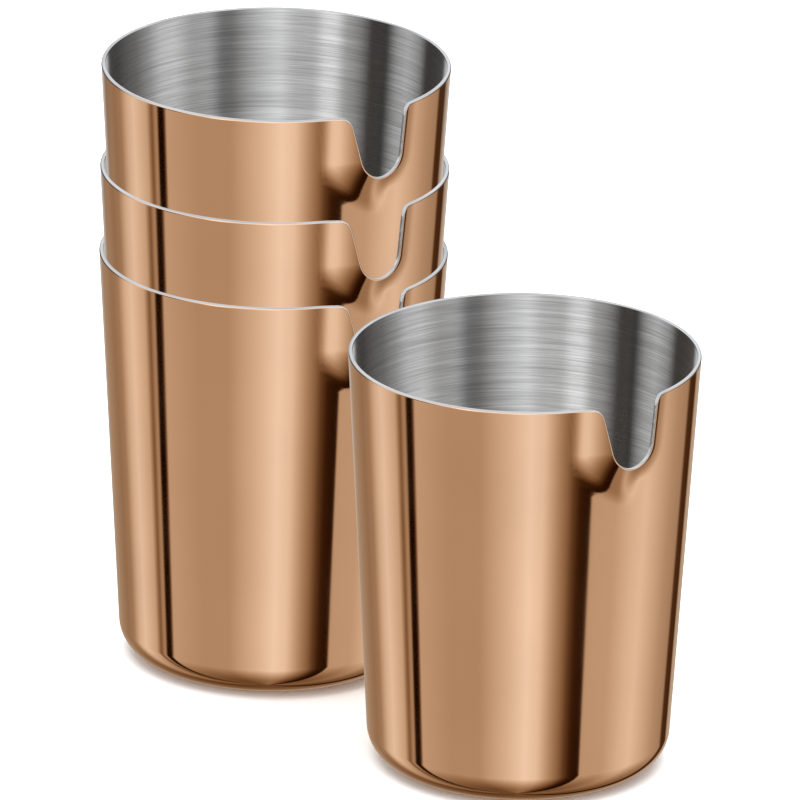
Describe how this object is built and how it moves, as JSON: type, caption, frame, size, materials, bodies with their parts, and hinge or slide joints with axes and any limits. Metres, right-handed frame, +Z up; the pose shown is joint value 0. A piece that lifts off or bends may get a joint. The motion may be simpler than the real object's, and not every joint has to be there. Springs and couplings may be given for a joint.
{
  "type": "bar jigger set",
  "caption": "Stacking tapered bar jiggers with a copper-plated outside, a brushed steel inside and a lipped pour notch in the rim, for measuring spirits.",
  "frame": {"origin": "middle of the set's footprint, on the surface that it stands on", "axes": "+Z up along the cups' axes, -Y towards the free jigger and the viewer, +X to the right"},
  "size_m": [0.079, 0.084, 0.082],
  "materials": {
    "steel": "brushed round the inside, bright cut rim",
    "copper": "mirror-polished copper plating"
  },
  "bodies": {
    "jigger_bottom": {"bottom_cup": "steel", "bottom_plating": "copper"},
    "jigger_middle": {"middle_cup": "steel", "middle_plating": "copper"},
    "jigger_top": {"top_cup": "steel", "top_plating": "copper"},
    "jigger_front": {"front_cup": "steel", "front_plating": "copper"}
  },
  "joints": [
    {"name": "middle_lift", "type": "slide", "parent": "jigger_bottom", "child": "jigger_middle", "axis": [0, 0, 1], "range_m": [0, 0.06]},
    {"name": "top_lift", "type": "slide", "parent": "jigger_middle", "child": "jigger_top", "axis": [0, 0, 1], "range_m": [0, 0.06]},
    {"name": "front_lift", "type": "slide", "parent": "jigger_bottom", "child": "jigger_front", "axis": [0, 0, 1], "range_m": [0, 0.06]}
  ]
}
